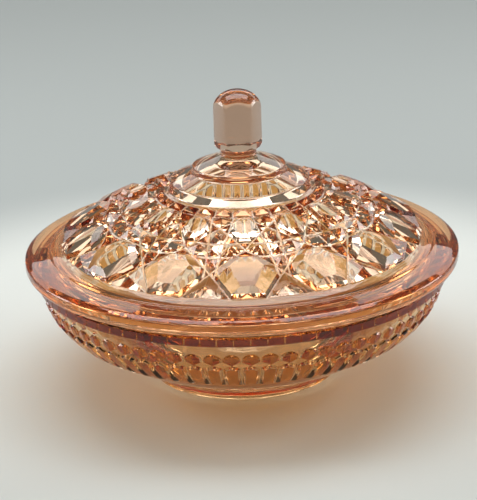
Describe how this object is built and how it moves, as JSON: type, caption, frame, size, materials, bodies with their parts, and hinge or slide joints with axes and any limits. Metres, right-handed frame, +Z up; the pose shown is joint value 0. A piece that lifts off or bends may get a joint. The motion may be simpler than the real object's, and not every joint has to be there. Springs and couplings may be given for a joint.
{
  "type": "covered candy dish",
  "caption": "Footed round dish of pressed glass with fluted sides and a domed, button-patterned lid that lifts off by a faceted knob.",
  "frame": {"origin": "the middle of the ring that the foot stands on", "axes": "+Z up along the axis of the dish and its knob; -Y towards the front, where an outer button and a flat of the knob face"},
  "size_m": [0.178, 0.178, 0.1181],
  "materials": {
    "bowl_glass": "pressed and fire-polished pink soda-lime glass",
    "lid_glass": "pressed and fire-polished pink soda-lime glass"
  },
  "bodies": {
    "bowl": {"bowl": "bowl_glass"},
    "lid": {"lid": "lid_glass"}
  },
  "joints": [
    {"name": "lid_lift", "type": "slide", "parent": "bowl", "child": "lid", "axis": [0, 0, 1], "range_m": [0, 0.12]}
  ]
}
